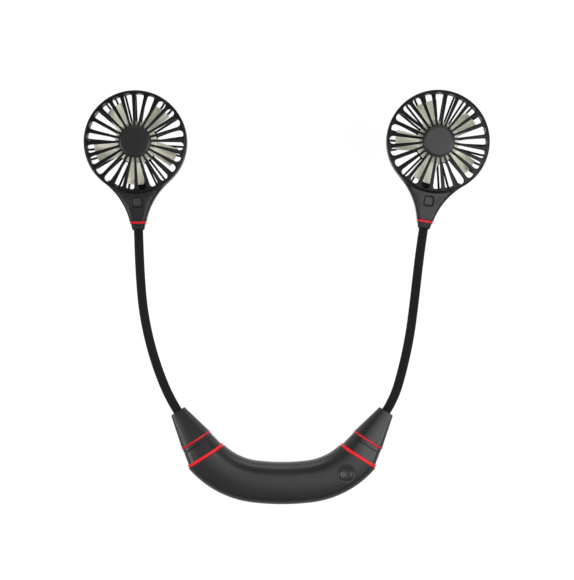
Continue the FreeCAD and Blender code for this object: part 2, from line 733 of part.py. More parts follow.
def bevelled_square(half_width, half_depth, bevel, at):
    """Outline across the neck at a distance from the fan's axis."""
    points = []
    for x, z in ((1, 1), (-1, 1), (-1, -1), (1, -1)):
        level = Vector(x * (half_width - bevel), -at, z * half_depth)
        upright = Vector(x * half_width, -at, z * (half_depth - bevel))
        points += [upright, level] if x * z > 0 else [level, upright]
    return Part.makePolygon(points + [points[0]])


def rounded_square(half, corner, bottom, top):
    """An upright block with rounded corners where the head button is."""
    square = block(-half, half, -HEAD_BUTTON_AT - half, -HEAD_BUTTON_AT + half, bottom, top)
    upright = [edge for edge in square.Edges if edge.BoundBox.ZLength > (top - bottom) / 2]
    return square.makeFillet(corner, upright)


bevel_bottom = NECK_HALF_DEPTH - NECK_BEVEL
neck_half = join([
    Part.Face(neck_outline(0, NECK_END, PARTING / 2)).extrude(UP * (bevel_bottom - PARTING / 2)),
    Part.makeLoft([
        neck_outline(0, NECK_END, bevel_bottom),
        neck_outline(NECK_BEVEL, NECK_END, NECK_HALF_DEPTH),
    ], True, True),
])
neck_room = Part.Face(neck_outline(NECK_WALL, NECK_END - NECK_END_WALL, 0)).extrude(UP * NECK_PANEL)
fan_room = cylinder(RIM_INSIDE, -FAR, FAR)
arm_hole = Part.makeCylinder(ARM_RADIUS + FIT, FAR, Vector(0, -SWITCH_BOARD_END, 0), Vector(0, -1, 0))
neck_half = neck_half.cut(neck_room).cut(fan_room).cut(arm_hole)

neck_posts = []
front_neck_holes = []
rear_neck_holes = []
head_screws = []
for x in (-HEAD_SCREW_X, HEAD_SCREW_X):
    place = Vector(x, -HEAD_SCREW_AT, 0)
    neck_posts.append(cylinder(HEAD_POST_RADIUS, 0, NECK_PANEL, place))
    front_neck_holes.append(cylinder(HEAD_SCREW_RADIUS + FIT, 0, HEAD_SCREW_TIP + HEAD_FLANGE_GAP, place))
    rear_neck_holes.append(cylinder(HEAD_SCREW_RADIUS + LOOSE, HEAD_SCREW_SEAT, 0, place))
    rear_neck_holes.append(cylinder(HEAD_SCREW_HEAD_RADIUS + LOOSE, -FAR, HEAD_SCREW_SEAT, place))
    head_screws.append(join([
        cylinder(HEAD_SCREW_HEAD_RADIUS, HEAD_SCREW_SEAT - HEAD_SCREW_HEAD, HEAD_SCREW_SEAT, place),
        cylinder(HEAD_SCREW_RADIUS, HEAD_SCREW_SEAT, HEAD_SCREW_TIP, place),
    ]))

# Front cover: rim, ribbed plate that rises to the hub cap, front half of the neck
rib_top = HEAD_HALF_DEPTH - HUB_CAP_STEP
front_disc = lathe([
    (RIM_INSIDE, PARTING / 2),
    (RIM_RADIUS, PARTING / 2),
    (RIM_RADIUS, RIM_FRONT),
    (SLOT_REACH - RIM_SHELF, RIM_FRONT),
    (RIB_START, rib_top),
    (HUB_CAP_RADIUS, rib_top),
    (HUB_CAP_RADIUS, HEAD_HALF_DEPTH),
    (0, HEAD_HALF_DEPTH),
    (0, rib_top - FRONT_PLATE),
    (RIB_START, rib_top - FRONT_PLATE),
    (RIM_INSIDE, RIM_FRONT - FRONT_PLATE),
])
front_disc = round_rim(front_disc, RIM_RADIUS, RIM_FRONT, RIM_ROUND)
front_disc = round_rim(front_disc, HUB_CAP_RADIUS, HEAD_HALF_DEPTH, HUB_CAP_ROUND)
front_disc = front_disc.cut(grille_slots(
    FRONT_RIBS, FRONT_RIB_WIDTH, FRONT_RIB_ROOT, FRONT_SLOT_ROOT, SLOT_REACH, FRONT_SLOT_FLAT,
    NECK_HALF_DEPTH, FAR, 0))
front_cover = join([front_disc, neck_half] + neck_posts).cut(group(front_neck_holes))
front_cover = front_cover.cut(rounded_square(HEAD_BUTTON_HOLE, HEAD_HOLE_CORNER, 0, FAR))

# Rear cover: tapered cage of thinner ribs, motor post, rear half of the neck.
# The wires run to the neck along the one slot that is closed.
hub_floor = -HEAD_HALF_DEPTH + REAR_PLATE
hub_foot = REAR_HUB_RADIUS + REAR_HUB_SLOPE
rear_bowl = lathe([
    (0, -HEAD_HALF_DEPTH),
    (REAR_HUB_RADIUS, -HEAD_HALF_DEPTH),
    (hub_foot, -HEAD_HALF_DEPTH + REAR_HUB_STEP),
    (REAR_RIM_RADIUS, -REAR_RIM_DEPTH),
    (RIM_RADIUS, -STRAIGHT_WALL),
    (RIM_RADIUS, -PARTING / 2),
    (RIM_INSIDE, -PARTING / 2),
    (RIM_INSIDE, -STRAIGHT_WALL),
    (REAR_RIM_RADIUS - REAR_PLATE, REAR_PLATE - REAR_RIM_DEPTH),
    (hub_foot, hub_floor + REAR_HUB_STEP),
    (REAR_HUB_RADIUS, hub_floor),
    (0, hub_floor),
])
rear_bowl = round_rim(rear_bowl, REAR_RIM_RADIUS, -REAR_RIM_DEPTH, REAR_RIM_ROUND)
flare_start = unit(FLARE_CENTRE) * FAR
neck_side = Part.makePolygon([ORIGIN, flare_start, Vector(-flare_start.x, flare_start.y, 0), ORIGIN])
neck_wall = Part.Face(neck_side).extrude(UP * -FAR).cut(cylinder(REAR_SLOT_STOP, -FAR, FAR))
rear_slots = grille_slots(
    REAR_RIBS, REAR_RIB_WIDTH, REAR_RIB_WIDTH, REAR_SLOT_ROOT, REAR_SLOT_REACH, REAR_SLOT_FLAT,
    -FAR, REAR_SLOT_TOP, 1)
rear_bowl = rear_bowl.cut(rear_slots.cut(neck_wall))
duct = block(-DUCT_WIDTH / 2, DUCT_WIDTH / 2, -REAR_SLOT_STOP, -DUCT_START, -REAR_RIM_DEPTH, DUCT_TOP)
duct = duct.cut(block(-DUCT_GROOVE / 2, DUCT_GROOVE / 2, -FAR, 0, DUCT_FLOOR, FAR))
duct = turned(duct, -180.0 / REAR_RIBS)
motor_post = cylinder(POST_RADIUS, hub_floor, POST_TOP)
board_bottom = SWITCH_BOARD_TOP - BOARD_THICKNESS
rests = []
for at in (SWITCH_BOARD_START + BOARD_REST_INSET, SWITCH_BOARD_END - BOARD_REST_INSET):
    rest = block(-BOARD_REST_HALF, BOARD_REST_HALF, 0, BOARD_REST_WALL, -NECK_PANEL, board_bottom)
    rests.append(moved(rest, Vector(0, -at - BOARD_REST_WALL / 2, 0)))
rear_posts = [flipped(post) for post in neck_posts]
rear_cover = join([rear_bowl, motor_post, duct, flipped(neck_half)] + rear_posts + rests)
rear_cover = rear_cover.cut(group(rear_neck_holes))
rear_cover = rear_cover.cut(cylinder(BEARING_RADIUS + SEAT_PLAY, hub_floor, POST_TOP))


# Rotor: a cup that carries pitched blades
def blade():
    def across(radius, chord, pitch, sweep):
        along = Vector(0, math.cos(math.radians(pitch)), -math.sin(math.radians(pitch)))
        thick = Vector(0, math.sin(math.radians(pitch)), math.cos(math.radians(pitch)))
        middle = Vector(radius, 0, BLADE_MIDDLE)
        corners = []
        for a, t in ((1, 1), (-1, 1), (-1, -1), (1, -1)):
            corners.append(middle + along * (a * chord / 2) + thick * (t * BLADE_THICKNESS / 2))
        return turned(Part.makePolygon(corners + [corners[0]]), sweep)

    root = across(ROTOR_INSIDE, BLADE_ROOT_CHORD, BLADE_ROOT_PITCH, BLADE_SWEEP / 2)
    tip = across(BLADE_TIP + PAST, BLADE_TIP_CHORD, BLADE_TIP_PITCH, -BLADE_SWEEP / 2)
    vane = Part.makeLoft([root, tip], True, True)
    return vane.common(tube(BLADE_TIP, ROTOR_INSIDE + ROTOR_WALL / 3, -FAR, FAR))


plate_bottom = ROTOR_FRONT - ROTOR_PLATE
cup = lathe([
    (SHAFT_RADIUS + SEAT_PLAY, plate_bottom - ROTOR_BOSS_LENGTH),
    (ROTOR_BOSS_RADIUS, plate_bottom - ROTOR_BOSS_LENGTH),
    (ROTOR_BOSS_RADIUS, plate_bottom),
    (ROTOR_INSIDE, plate_bottom),
    (ROTOR_INSIDE, ROTOR_REAR),
    (ROTOR_RADIUS, ROTOR_REAR),
    (ROTOR_RADIUS, ROTOR_FRONT),
    (SHAFT_RADIUS + SEAT_PLAY, ROTOR_FRONT),
])
cup = round_rim(cup, ROTOR_RADIUS, ROTOR_FRONT, ROTOR_ROUND)
one_blade = blade()
rotor = join([cup] + [turned(one_blade, k * 360.0 / BLADES) for k in range(BLADES)])

# Motor: magnet and shaft turn with the rotor, bearing and stator sit on the rear cover's post
magnet = tube(ROTOR_INSIDE - SEAT_PLAY, ROTOR_INSIDE - MAGNET_THICKNESS, MAGNET_REAR, plate_bottom)
shaft = cylinder(SHAFT_RADIUS, hub_floor + SHAFT_END_GAP, ROTOR_FRONT)
bearing = tube(BEARING_RADIUS, SHAFT_RADIUS + SHAFT_PLAY, hub_floor, POST_TOP)
motor_board = tube(STATOR_RADIUS, POST_RADIUS + LOOSE, hub_floor, hub_floor + BOARD_THICKNESS)
pole_slot = join([
    rounded_slot(WINDING_SLOT_ROOT, POLE_GAP, WINDING_SLOT_REACH, WINDING_SLOT_END,
                 STATOR_BOTTOM, STATOR_TOP),
    block(WINDING_SLOT_ROOT, STATOR_RADIUS + PAST, -POLE_GAP / 2, POLE_GAP / 2, STATOR_BOTTOM, STATOR_TOP),
])
stator = tube(STATOR_RADIUS, POST_RADIUS + SEAT_PLAY, STATOR_BOTTOM, STATOR_TOP)
stator = stator.cut(group([turned(pole_slot, k * 360.0 / STATOR_POLES) for k in range(STATOR_POLES)]))
stator_foot = tube(STATOR_FOOT, POST_RADIUS + SEAT_PLAY, hub_floor + BOARD_THICKNESS, STATOR_BOTTOM)
stator = join([stator, stator_foot])

# Head button with its stem in the switch, switch board, ring and ferrule
button_top = NECK_HALF_DEPTH + HEAD_BUTTON_PROUD
button_cap = rounded_square(HEAD_BUTTON_HALF, HEAD_BUTTON_CORNER, HEAD_FLANGE_BOTTOM, button_top)
top_edges = [edge for edge in button_cap.Edges if edge.BoundBox.ZMin > button_top - 0.01]
button_place = Vector(0, -HEAD_BUTTON_AT, 0)
head_button = join([
    button_cap.makeFillet(HEAD_BUTTON_ROUND, top_edges),
    rounded_square(HEAD_FLANGE_HALF, HEAD_HOLE_CORNER, HEAD_FLANGE_BOTTOM, HEAD_FLANGE_TOP),
    cylinder(HEAD_STEM_RADIUS, HEAD_STEM_END, HEAD_FLANGE_BOTTOM, button_place),
])
half = HEAD_SWITCH_HALF
head_switch = moved(block(-half, half, -half, half, SWITCH_BOARD_TOP, HEAD_SWITCH_TOP), button_place)
well_floor = HEAD_STEM_END - HEAD_BUTTON_TRAVEL - WELL_SPARE
head_switch = head_switch.cut(cylinder(HEAD_STEM_RADIUS + LOOSE, well_floor, HEAD_SWITCH_TOP, button_place))
switch_board = block(-SWITCH_BOARD_HALF, SWITCH_BOARD_HALF, -SWITCH_BOARD_END, -SWITCH_BOARD_START,
                     board_bottom, SWITCH_BOARD_TOP)
neck_ring = Part.Face(bevelled_square(NECK_RING_HALF, NECK_RING_HALF, NECK_BEVEL, NECK_END))
neck_ring = neck_ring.extrude(Vector(0, -NECK_RING_LENGTH, 0)).cut(arm_hole)
ferrule = Part.makeLoft([
    bevelled_square(FERRULE_HALF, FERRULE_HALF, NECK_BEVEL, FERRULE_START),
    bevelled_square(FERRULE_TIP_HALF, FERRULE_TIP_HALF, FERRULE_TIP_BEVEL, HEAD_REACH),
], True, True).cut(arm_hole)

head_pieces = {
    "front_cover": front_cover,
    "magnet_ring": magnet,
    "motor_shaft": shaft,
    "bearing": bearing,
    "stator": stator,
    "motor_board": motor_board,
    "button": head_button,
    "switch": head_switch,
    "switch_board": switch_board,
    "neck_ring": neck_ring,
    "ferrule": ferrule,
    "screws": group(head_screws),
}

sides = (("left", LEFT_BENDS, LEFT_BLADE_PHASE), ("right", RIGHT_BENDS, RIGHT_BLADE_PHASE))
for side, bends, phase in sides:
    centre, turn = arm(side, bends)
    print(side, "head at", round(centre.x, 3), round(centre.y, 3), "turned", round(turn, 2))
    for name, piece in head_pieces.items():
        save(side + "_" + name, moved(turned(piece, turn), centre))
    save(side + "_rotor", moved(turned(rotor, turn + phase), centre))
    rear = mirrored(rear_cover) if side == "left" else rear_cover
    save(side + "_rear_cover", moved(turned(rear, turn), centre))

print("power button at", round(power.x, 3), round(power.y, 3))
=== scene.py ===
# %% [markdown]
# # An electric neck fan
# Two small fans sit on bendable arms, and the arms grow out of a battery collar that rests on the
# wearer's shoulders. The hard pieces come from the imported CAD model, which is loaded as a fixed frame.
# Blender adds what CAD can't: the woven sleeves of the arms and the finish of every surface.

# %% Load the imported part
import bpy
import json
import math
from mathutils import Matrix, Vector

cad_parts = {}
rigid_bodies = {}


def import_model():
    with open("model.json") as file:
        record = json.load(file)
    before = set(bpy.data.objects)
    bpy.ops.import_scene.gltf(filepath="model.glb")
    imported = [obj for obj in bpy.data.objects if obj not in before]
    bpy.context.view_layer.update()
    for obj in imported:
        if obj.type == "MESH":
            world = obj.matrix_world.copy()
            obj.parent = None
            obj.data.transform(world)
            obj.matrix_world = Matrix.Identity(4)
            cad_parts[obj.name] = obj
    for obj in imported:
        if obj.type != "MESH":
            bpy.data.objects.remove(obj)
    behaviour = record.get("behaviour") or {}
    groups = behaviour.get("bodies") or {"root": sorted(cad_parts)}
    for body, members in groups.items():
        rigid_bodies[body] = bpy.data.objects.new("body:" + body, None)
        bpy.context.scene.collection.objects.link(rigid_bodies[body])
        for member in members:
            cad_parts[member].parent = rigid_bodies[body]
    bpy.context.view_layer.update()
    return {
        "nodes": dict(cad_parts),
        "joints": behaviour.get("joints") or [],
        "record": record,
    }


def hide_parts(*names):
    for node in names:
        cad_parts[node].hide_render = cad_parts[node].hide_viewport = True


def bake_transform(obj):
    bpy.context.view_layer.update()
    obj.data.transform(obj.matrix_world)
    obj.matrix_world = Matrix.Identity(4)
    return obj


MM = 0.001
SIDES = ("left", "right")

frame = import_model()
nodes = frame["nodes"]

# %% [markdown]
# ## The joints
# Some finishes follow the axis of a fan, and the sleeves follow the hinges of an arm. Both are read from the
# frame, so that they stay true when the CAD model changes.

# %% Where the joints are
def fan_axis(side):
    """The point of the frame that a fan turns about."""
    return next(j["pos_m"] for j in frame["joints"] if j["name"] == side + "_fan_spin")


def arm_joints(side):
    """The six hinges of an arm, from the collar to the head."""
    return [j for j in frame["joints"] if j["name"].startswith((side + "_lift", side + "_curl"))]


def head_turn(side):
    """The angle that a head is turned by, from the last hinge of its arm."""
    along = Vector(arm_joints(side)[-1]["pos_m"]) - Vector(fan_axis(side))
    return math.atan2(along.x, -along.y)


for side in SIDES:
    print(side, "arm has", len(arm_joints(side)), "hinges, its head is turned by",
          round(math.degrees(head_turn(side)), 1), "degrees")

# %% [markdown]
# ## A small language for finishes
# A finish is a graph of shader nodes. Wiring it by hand takes a line for every link, so a socket is wrapped
# in a class that knows plain arithmetic: `1 - mask` or `height * 0.3` then adds the Math nodes by itself.
# Every other node comes from one method, which takes its type, its settings and its sockets.

# %% Sockets that can be used in sums
class Value:
    """One output socket of a graph, ready for arithmetic."""

    def __init__(self, graph, socket):
        self.graph = graph
        self.socket = socket

    def maths(self, operation, *others):
        sockets = dict(enumerate((self,) + others))
        return self.graph.node("ShaderNodeMath", {"operation": operation}, sockets)

    def reverse(self, operation, other):
        return self.graph.node("ShaderNodeMath", {"operation": operation}, {0: other, 1: self})

    def __add__(self, other):
        return self.maths("ADD", other)

    def __sub__(self, other):
        return self.maths("SUBTRACT", other)

    def __mul__(self, other):
        return self.maths("MULTIPLY", other)

    def __radd__(self, other):
        return self.reverse("ADD", other)

    def __rsub__(self, other):
        return self.reverse("SUBTRACT", other)

    def __rmul__(self, other):
        return self.reverse("MULTIPLY", other)

    def ramp(self, low, high, to_low=0.0, to_high=1.0, shape="SMOOTHSTEP"):
        """Runs from to_low to to_high while the value goes from low to high."""
        return self.graph.node("ShaderNodeMapRange", {"interpolation_type": shape}, {
            "Value": self, "From Min": low, "From Max": high, "To Min": to_low, "To Max": to_high})


# %% A graph of nodes
class Graph:
    """A tree of shader nodes that ends in one output."""

    def __init__(self, tree, output):
        self.tree = tree
        self.tree.nodes.clear()
        self.output = self.tree.nodes.new(output)

    def node(self, kind, settings=None, sockets=None, output=0):
        """Adds a node. A socket takes a number, a colour or another node's value."""
        made = self.tree.nodes.new(kind)
        for name, value in (settings or {}).items():
            setattr(made, name, value)
        for name, value in (sockets or {}).items():
            if isinstance(value, Value):
                self.tree.links.new(value.socket, made.inputs[name])
            else:
                made.inputs[name].default_value = value
        return Value(self, made.outputs[output])

    def show(self, shader):
        """Makes a shader the one that is seen."""
        self.tree.links.new(shader.socket, self.output.inputs["Surface"])

    def mix(self, share, first, second):
        """A shader between two shaders."""
        return self.node("ShaderNodeMixShader", {}, {0: share, 1: first, 2: second})

    def split(self, vector):
        """The X, Y and Z of a vector."""
        parts = self.node("ShaderNodeSeparateXYZ", {}, {"Vector": vector}).socket.node.outputs
        return [Value(self, part) for part in parts]

    def length(self, vector):
        """The length of a vector."""
        return self.node("ShaderNodeVectorMath", {"operation": "LENGTH"}, {0: vector}, "Value")

    def backdrop_rays(self):
        """One for rays that show what lies behind the part: straight, mirrored or through glass."""
        kinds = self.node("ShaderNodeLightPath").socket.node.outputs
        camera, glossy, through = [
            Value(self, kinds["Is " + kind + " Ray"]) for kind in ("Camera", "Glossy", "Transmission")]
        return camera.maths("MAXIMUM", glossy).maths("MAXIMUM", through)


# %% A finish
WEAR_SAMPLES = 6
CORNER_SAMPLES = 8
# How alike a face and its rounded edge point: nearly one on a face, less along an edge.
ON_FACE = 0.985
ON_EDGE = 0.86


class Finish(Graph):
    """A material with one Principled shader, written as expressions."""

    def __init__(self, name, constants=None):
        self.material = bpy.data.materials.new(name)
        self.material.use_nodes = True
        super().__init__(self.material.node_tree, "ShaderNodeOutputMaterial")
        self.shader = self.node("ShaderNodeBsdfPrincipled", {}, constants)
        self.show(self.shader)
        self.rounded = None
        self.varying = {}

    def place(self, centre=(0, 0, 0), stretch=(1, 1, 1), turn=0.0):
        """Object coordinates about a centre, turned about Z and stretched."""
        middle = self.node("ShaderNodeMapping", {}, {
            "Vector": self.node("ShaderNodeTexCoord", {}, {}, "Object"),
            "Location": [-c for c in centre]})
        return self.node("ShaderNodeMapping", {}, {
            "Vector": middle, "Rotation": (0, 0, turn), "Scale": stretch})

    def noise(self, place, size, detail=2.0, rough=0.5):
        """Cloudy noise with features of about one size, in metres."""
        return self.node("ShaderNodeTexNoise", {}, {
            "Vector": place, "Scale": 1 / size, "Detail": detail, "Roughness": rough})

    def blend(self, share, first, second):
        """A colour between two colours."""
        first, second = [c if isinstance(c, Value) else (*c, 1.0) for c in (first, second)]
        return self.node("ShaderNodeMix", {"data_type": "RGBA"}, {0: share, 6: first, 7: second}, 2)

    def edges(self, width):
        """One along the edges of the piece and nought on its faces."""
        soft = self.node("ShaderNodeBevel", {"samples": WEAR_SAMPLES}, {"Radius": width})
        face = self.node("ShaderNodeNewGeometry", {}, {}, "Normal")
        alike = self.node("ShaderNodeVectorMath", {"operation": "DOT_PRODUCT"}, {0: soft, 1: face}, "Value")
        return alike.ramp(ON_FACE, ON_EDGE)

    def round_off(self, radius):
        """Shades the edges of the piece as if they were rounded."""
        self.rounded = self.node("ShaderNodeBevel", {"samples": CORNER_SAMPLES}, {"Radius": radius})

    def lean(self):
        """The upward share of the rounded surface's direction."""
        own = self.node("ShaderNodeVectorTransform", {
            "vector_type": "NORMAL", "convert_from": "WORLD", "convert_to": "OBJECT"}, {"Vector": self.rounded})
        return self.split(own)[2]

    def plug(self, shader, names):
        """Links the values that vary over the surface to a shader's sockets."""
        for name in names:
            self.tree.links.new(self.varying[name].socket, shader.socket.node.inputs[name])

    def finish(self, colour, roughness=None, height=None, depth=0.0):
        """Gives the shader its colour, its roughness and a relief of some depth in metres."""
        self.varying["Base Color"] = colour
        if roughness is not None:
            self.varying["Roughness"] = roughness
        if height is not None:
            relief = {"Height": height, "Distance": depth, "Strength": 1.0}
            if self.rounded is not None:
                relief["Normal"] = self.rounded
            self.varying["Normal"] = self.node("ShaderNodeBump", {}, relief)
        self.plug(self.shader, self.varying)
        print("finish", self.material.name, "with", len(self.tree.nodes), "nodes")
        return self.material

    def overlay(self, share, constants):
        """Mixes in a second Principled shader, which has the roughness and the relief of the first."""
        second = self.node("ShaderNodeBsdfPrincipled", {}, constants)
        self.plug(second, ("Roughness", "Normal"))
        self.show(self.mix(share, self.shader, second))


finishes = {}

# %% [markdown]
# ## Black moulded plastic
# The collar, the cones and the fan heads are black ABS from a mould with an eroded texture: a fine, even
# grain that spreads highlights. Handling polishes the edges a little and leaves faint scuffs and specks of
# dust. One function makes all the black plastics, with a tone, a roughness and a grain size for each, the
# share of the edges that is worn and the radius that the edges are shaded with.

# %% The black plastics
BLACK_GLOSS = {"Specular IOR Level": 0.32}
CLOUD_SIZE = 22 * MM
SCRATCH_SIZE = 1.6 * MM
SCRATCH_STRETCH = (1.0, 0.12, 1.0)
SCRATCH_TURN = 0.6
DUST_SIZE = 1.1 * MM
WORN_WIDTH = 0.6 * MM
DARKEN = 0.82
LIGHTEN = 1.45
HAZE = 0.004
GRAIN_DEPTH = 0.16


def moulded_black(plastic, tone, roughness, grain, worn, corner):
    """Turns a plain finish into black plastic, with its grain and its corner in metres."""
    plastic.round_off(corner)
    place = plastic.place()
    eroded = plastic.noise(place, grain, 3.0, 0.6)
    pits = plastic.node("ShaderNodeTexVoronoi", {"feature": "SMOOTH_F1"}, {
        "Vector": place, "Scale": 0.7 / grain, "Smoothness": 0.6})
    clouds = plastic.noise(place, CLOUD_SIZE, 3.0, 0.55)
    along = plastic.place(stretch=SCRATCH_STRETCH, turn=SCRATCH_TURN)
    scratches = plastic.noise(along, SCRATCH_SIZE, 2.0)
    scuffs = scratches.ramp(0.66, 0.78) * clouds.ramp(0.45, 0.62)
    dust = plastic.noise(place, DUST_SIZE, 1.0).ramp(0.76, 0.80)
    edge = plastic.edges(WORN_WIDTH) * worn
    light = clouds * 0.35 + eroded * 0.25 + scuffs * 0.25 + dust * 0.55 + edge
    dark = [c * DARKEN for c in tone]
    pale = [c * LIGHTEN + HAZE for c in tone]
    shine = roughness - 0.09 + clouds * 0.16 + eroded * 0.06 - edge * 0.12 + scuffs * 0.08
    relief = eroded * 0.6 + pits * 0.4
    return plastic.finish(plastic.blend(light, dark, pale), shine, relief, grain * GRAIN_DEPTH)


finishes["shell"] = moulded_black(
    Finish("collar_plastic", BLACK_GLOSS), tone=(0.0095, 0.0095, 0.0098),
    roughness=0.35, grain=0.32 * MM, worn=0.5, corner=0.4 * MM)
finishes["power_button"] = moulded_black(
    Finish("power_button_plastic", BLACK_GLOSS), tone=(0.0175, 0.0175, 0.0185),
    roughness=0.36, grain=0.20 * MM, worn=0.7, corner=0.2 * MM)
finishes["head_button"] = moulded_black(
    Finish("head_button_plastic", BLACK_GLOSS), tone=(0.018, 0.018, 0.019),
    roughness=0.40, grain=0.20 * MM, worn=0.7, corner=0.2 * MM)
finishes["switch_black"] = moulded_black(
    Finish("switch_plastic", BLACK_GLOSS), tone=(0.018, 0.018, 0.019),
    roughness=0.55, grain=0.30 * MM, worn=0.2, corner=0.4 * MM)

# %% [markdown]
# ## The covers of the fan heads
# The ribs and the rims of the heads get painted shade: a darker, less shiny black than the hub caps is laid
# over them, with a share of it on the necks. It is placed by the distance from the axis of their fan, so each
# head has its own finish. The long edges of the necks are well rounded: they are shaded with a wide corner,
# which draws a line of light along the neck, and their steep flanks get the full painted shade again. The wide
# corner stays clear of the button, whose hole has crisp edges.

# %% The covers
HUB_CAP = 10.6 * MM
RIM = 35.9 * MM
FADE = 0.6 * MM
BUTTON_SIDE = 4.5 * MM
BUTTON_FADE = 1.5 * MM
NECK_START = RIM + 1 * MM
NECK_FULL = RIM + 4 * MM
RIB_CORNER = 1.3 * MM
NECK_CORNER = 4.0 * MM
NECK_PAINTED_SHADE = 0.25
# The upward share of a surface's direction where a flank begins and where it is steep.
FLANK_START = 0.93
FLANK_FULL = 0.86
# Painted shade: a darker, less shiny black laid over the ribs, the rims and the necks.
PAINTED_SHADE_BLACK = {"Base Color": (0.004, 0.004, 0.0045, 1.0), "Specular IOR Level": 0.14}


def head_plastic(side):
    """The black plastic of one head, which knows where its hub cap, rim and neck are, with painted shade over
    its ribs, rim and neck.
    """
    plastic = Finish(side + "_head_plastic", BLACK_GLOSS)
    x, y = plastic.split(plastic.place(fan_axis(side), turn=-head_turn(side)))[:2]
    reach = (x * x + y * y).maths("SQRT")
    beside_button = x.maths("ABSOLUTE").ramp(BUTTON_SIDE, BUTTON_SIDE + BUTTON_FADE)
    long_edges = beside_button * reach.ramp(NECK_START, NECK_FULL)
    moulded_black(
        plastic, tone=(0.0080, 0.0080, 0.0088), roughness=0.30, grain=0.26 * MM, worn=0.4,
        corner=long_edges.ramp(0.0, 1.0, RIB_CORNER, NECK_CORNER))
    neck = reach.ramp(RIM, RIM + FADE)
    # Painted shade over the ribs and the rim, a share of it on the flat of the neck, all of it on the steep
    # flanks and none on the hub cap.
    painted_flank_shade = plastic.lean().ramp(FLANK_START, FLANK_FULL, NECK_PAINTED_SHADE, 1.0)
    deep = reach.ramp(HUB_CAP, HUB_CAP + FADE) * (neck * painted_flank_shade + (1 - neck))
    plastic.overlay(deep, PAINTED_SHADE_BLACK)
    return plastic.material


for side in SIDES:
    finishes[side + "_cover"] = head_plastic(side)

# %% [markdown]
# ## Red rings
# The rings are red elastomer bands: smooth, a little glossy, slightly varied in colour in broad clouds and
# paler where it has been rubbed. A fine matte bloom breaks the gloss. The thin bands of the cones
# and the necks are a deeper red than the clamp rings.

# %% The red elastomer
def red_elastomer(name, deep, pale):
    """A red band between two tones."""
    rubber = Finish(name, {"Specular IOR Level": 0.22})
    place = rubber.place()
    clouds = rubber.noise(place, 6 * MM, 3.0)
    bloom = rubber.noise(place, 0.4 * MM, 3.0, 0.65)
    rubbed = rubber.edges(0.5 * MM)
    colour = rubber.blend(clouds * 0.5 + bloom * 0.3 + rubbed * 0.35, deep, pale)
    return rubber.finish(colour, 0.30 + bloom * 0.16 + clouds * 0.06, bloom, 0.04 * MM)


finishes["red_ring"] = red_elastomer(
    "red_elastomer", deep=(0.52, 0.004, 0.010), pale=(0.64, 0.012, 0.018))
finishes["thin_ring"] = red_elastomer(
    "deep_red_elastomer", deep=(0.40, 0.002, 0.008), pale=(0.49, 0.006, 0.014))

# %% [markdown]
# ## Beige blades
# The rotors are moulded in an unpainted beige plastic. The melt runs out from the hub, so faint streaks run
# along the blades. Painted light makes the blades paler round the hub, fading to painted shade towards the
# tips.
# Both follow the fan's axis, so the finish is made once for each fan, centred on its own joint.

# %% The blade plastic
BEIGE = (0.87, 0.862, 0.685)
PALE_BEIGE = (0.95, 0.942, 0.825)
# Radii where the painted light round the hub is full and where it has faded to painted shade towards the tips.
HUB_PAINTED_LIGHT = 13.5 * MM
TIP_PAINTED_SHADE = 24.5 * MM
# How fast the streaks change round the axis, out along a blade and through its thickness.
STREAKS_ROUND = 14.0
STREAKS_OUT = 60.0
STREAKS_THROUGH = 200.0


def blade_plastic(side):
    """The beige plastic of one rotor, streaked outward from its own axis."""
    plastic = Finish(side + "_blade_plastic", {"Specular IOR Level": 0.4})
    place = plastic.place(fan_axis(side))
    x, y, z = plastic.split(place)
    reach = plastic.length(place)
    angle = y.maths("ARCTAN2", x)
    melt = plastic.node("ShaderNodeCombineXYZ", {}, {
        "X": angle * STREAKS_ROUND, "Y": reach * STREAKS_OUT, "Z": z * STREAKS_THROUGH})
    streaks = plastic.node("ShaderNodeTexNoise", {}, {"Vector": melt, "Scale": 1.0, "Detail": 3.0})
    grain = plastic.noise(place, 0.35 * MM, 2.0)
    clouds = plastic.noise(place, 9 * MM, 2.0)
    # Painted light, paler round the hub and fading to painted shade out towards the tips.
    painted_hub_light = reach.ramp(TIP_PAINTED_SHADE, HUB_PAINTED_LIGHT)
    worn = plastic.edges(0.5 * MM)
    colour = plastic.blend(
        painted_hub_light * 0.55 + streaks * 0.30 + clouds * 0.20 + worn * 0.25, BEIGE, PALE_BEIGE)
    shine = 0.44 + grain * 0.10 + streaks * 0.08
    return plastic.finish(colour, shine, grain * 0.6 + streaks * 0.4, 0.05 * MM)


for side in SIDES:
    finishes[side + "_blade"] = blade_plastic(side)

# %% [markdown]
# ## Metal, boards and the cell
# The charging port, the screws and the shafts are steel, turned or stamped, with fine drawn lines. The inner
# pieces are seen only when the part is taken apart, and they get the finish of the real ones all the same.

# %% The metals
def drawn_metal(name, dark, pale, roughness, stretch=(1, 1, 1)):
    """Metal with fine lines, which run along the axis that is stretched least."""
    metal = Finish(name, {"Metallic": 1.0})
    lines = metal.noise(metal.place(stretch=stretch), 0.3 * MM, 3.0, 0.6)
    clouds = metal.noise(metal.place(), 3 * MM, 3.0)
    colour = metal.blend(lines * 0.5 + clouds * 0.5, dark, pale)
    return metal.finish(colour, roughness - 0.08 + lines * 0.1 + clouds * 0.08, lines, 0.02 * MM)


